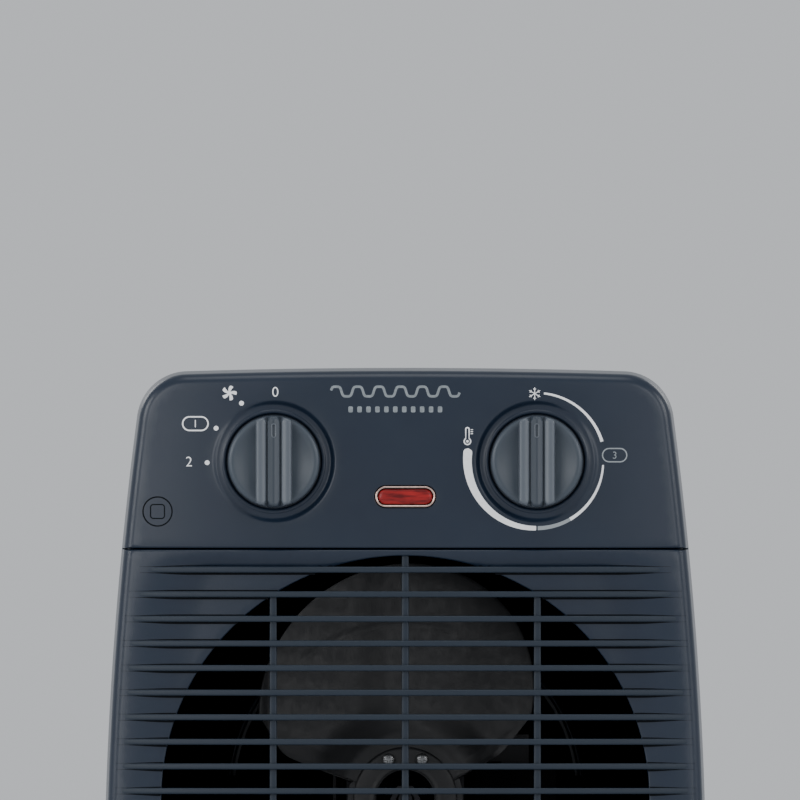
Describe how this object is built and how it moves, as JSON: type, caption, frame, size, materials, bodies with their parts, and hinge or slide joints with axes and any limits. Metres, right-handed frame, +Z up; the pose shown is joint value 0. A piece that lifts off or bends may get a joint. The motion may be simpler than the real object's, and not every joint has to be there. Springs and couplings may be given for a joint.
{
  "type": "ceramic space heater",
  "caption": "Upright portable fan heater with a round ribbed outlet, a two-petal fan, two panel knobs, an indicator lamp and a rear grip pocket.",
  "frame": {"origin": "on the floor under the middle of the object's box", "axes": "+Z up; the front with its knobs and outlet faces -Y; +X is to the right seen from the front"},
  "size_m": [0.1996, 0.142, 0.2406],
  "materials": {
    "body_plastic": "fine spark-eroded texture, dark slate",
    "knob_plastic": "smooth satin, a shade lighter than the case",
    "inner_plastic": "black, plain moulded",
    "fan_metal": "dark grey satin coating on pressed sheet",
    "steel": "zinc-plated",
    "laminations": "stacked electrical steel, dull",
    "winding_tape": "black polyester tape wound over the motor's coil",
    "black_steel": "black-oxide steel, satin",
    "filter_foam": "black open-cell foam",
    "aluminium": "plain folded fin strip",
    "ceramic": "unglazed, off-white",
    "rubber": "black, matt",
    "red_lens": "clear red, faceted inside",
    "bezel_metal": "plated rim with a coppery tint",
    "switch_plastic": "off-white moulding",
    "neon_glass": "small neon tube"
  },
  "bodies": {
    "housing": {"base_plate": "inner_plastic", "control_panel": "body_plastic", "cord_gland": "rubber", "dust_filter": "filter_foam", "fan_duct": "inner_plastic", "foot_front_left": "rubber", "foot_front_right": "rubber", "foot_rear_left": "rubber", "foot_rear_right": "rubber", "front_cover": "body_plastic", "indicator_bezel": "bezel_metal", "indicator_lens": "red_lens", "lower_bank_ceramic_1": "ceramic", "lower_bank_ceramic_2": "ceramic", "lower_bank_fins_1": "aluminium", "lower_bank_fins_2": "aluminium", "lower_bank_fins_3": "aluminium", "lower_bank_frame": "inner_plastic", "motor_coil": "winding_tape", "motor_front_bracket": "black_steel", "motor_mount": "inner_plastic", "motor_rear_bracket": "black_steel", "motor_stator": "laminations", "neon_lamp": "neon_glass", "rear_guard": "body_plastic", "rear_housing": "body_plastic", "screw_lower_left": "steel", "screw_lower_right": "steel", "screw_upper_left": "steel", "screw_upper_right": "steel", "selector_body": "switch_plastic", "terminal_block": "switch_plastic", "thermal_cutout": "ceramic", "thermostat_body": "switch_plastic", "tip_switch": "switch_plastic", "upper_bank_ceramic_1": "ceramic", "upper_bank_ceramic_2": "ceramic", "upper_bank_fins_1": "aluminium", "upper_bank_fins_2": "aluminium", "upper_bank_fins_3": "aluminium", "upper_bank_frame": "inner_plastic"},
    "selector": {"knob_selector": "knob_plastic", "selector_shaft": "steel"},
    "thermostat": {"knob_thermostat": "knob_plastic", "thermostat_shaft": "steel"},
    "fan": {"fan_blade": "fan_metal", "fan_clamp_ring": "fan_metal", "fan_hub": "inner_plastic", "hub_screw_1": "steel", "hub_screw_2": "steel", "hub_screw_3": "steel", "hub_screw_4": "steel", "shaft_nut": "black_steel", "motor_shaft": "black_steel", "motor_rotor": "laminations"},
    "plunger": {"tip_plunger": "knob_plastic"}
  },
  "joints": [
    {"name": "selector_turn", "type": "hinge", "parent": "housing", "child": "selector", "pos_m": [-0.0434, 0, 0.2096], "axis": [0, -1, 0], "range_deg": [0, 90]},
    {"name": "thermostat_turn", "type": "hinge", "parent": "housing", "child": "thermostat", "pos_m": [0.0434, 0, 0.2096], "axis": [0, 1, 0], "range_deg": [0, 280]},
    {"name": "fan_spin", "type": "hinge", "parent": "housing", "child": "fan", "pos_m": [0, 0, 0.098], "axis": [0, -1, 0], "continuous": true},
    {"name": "plunger_drop", "type": "slide", "parent": "housing", "child": "plunger", "axis": [0, 0, -1], "range_m": [0, 0.004], "stiffness_N_per_m": 40, "springref_m": 0.006}
  ]
}
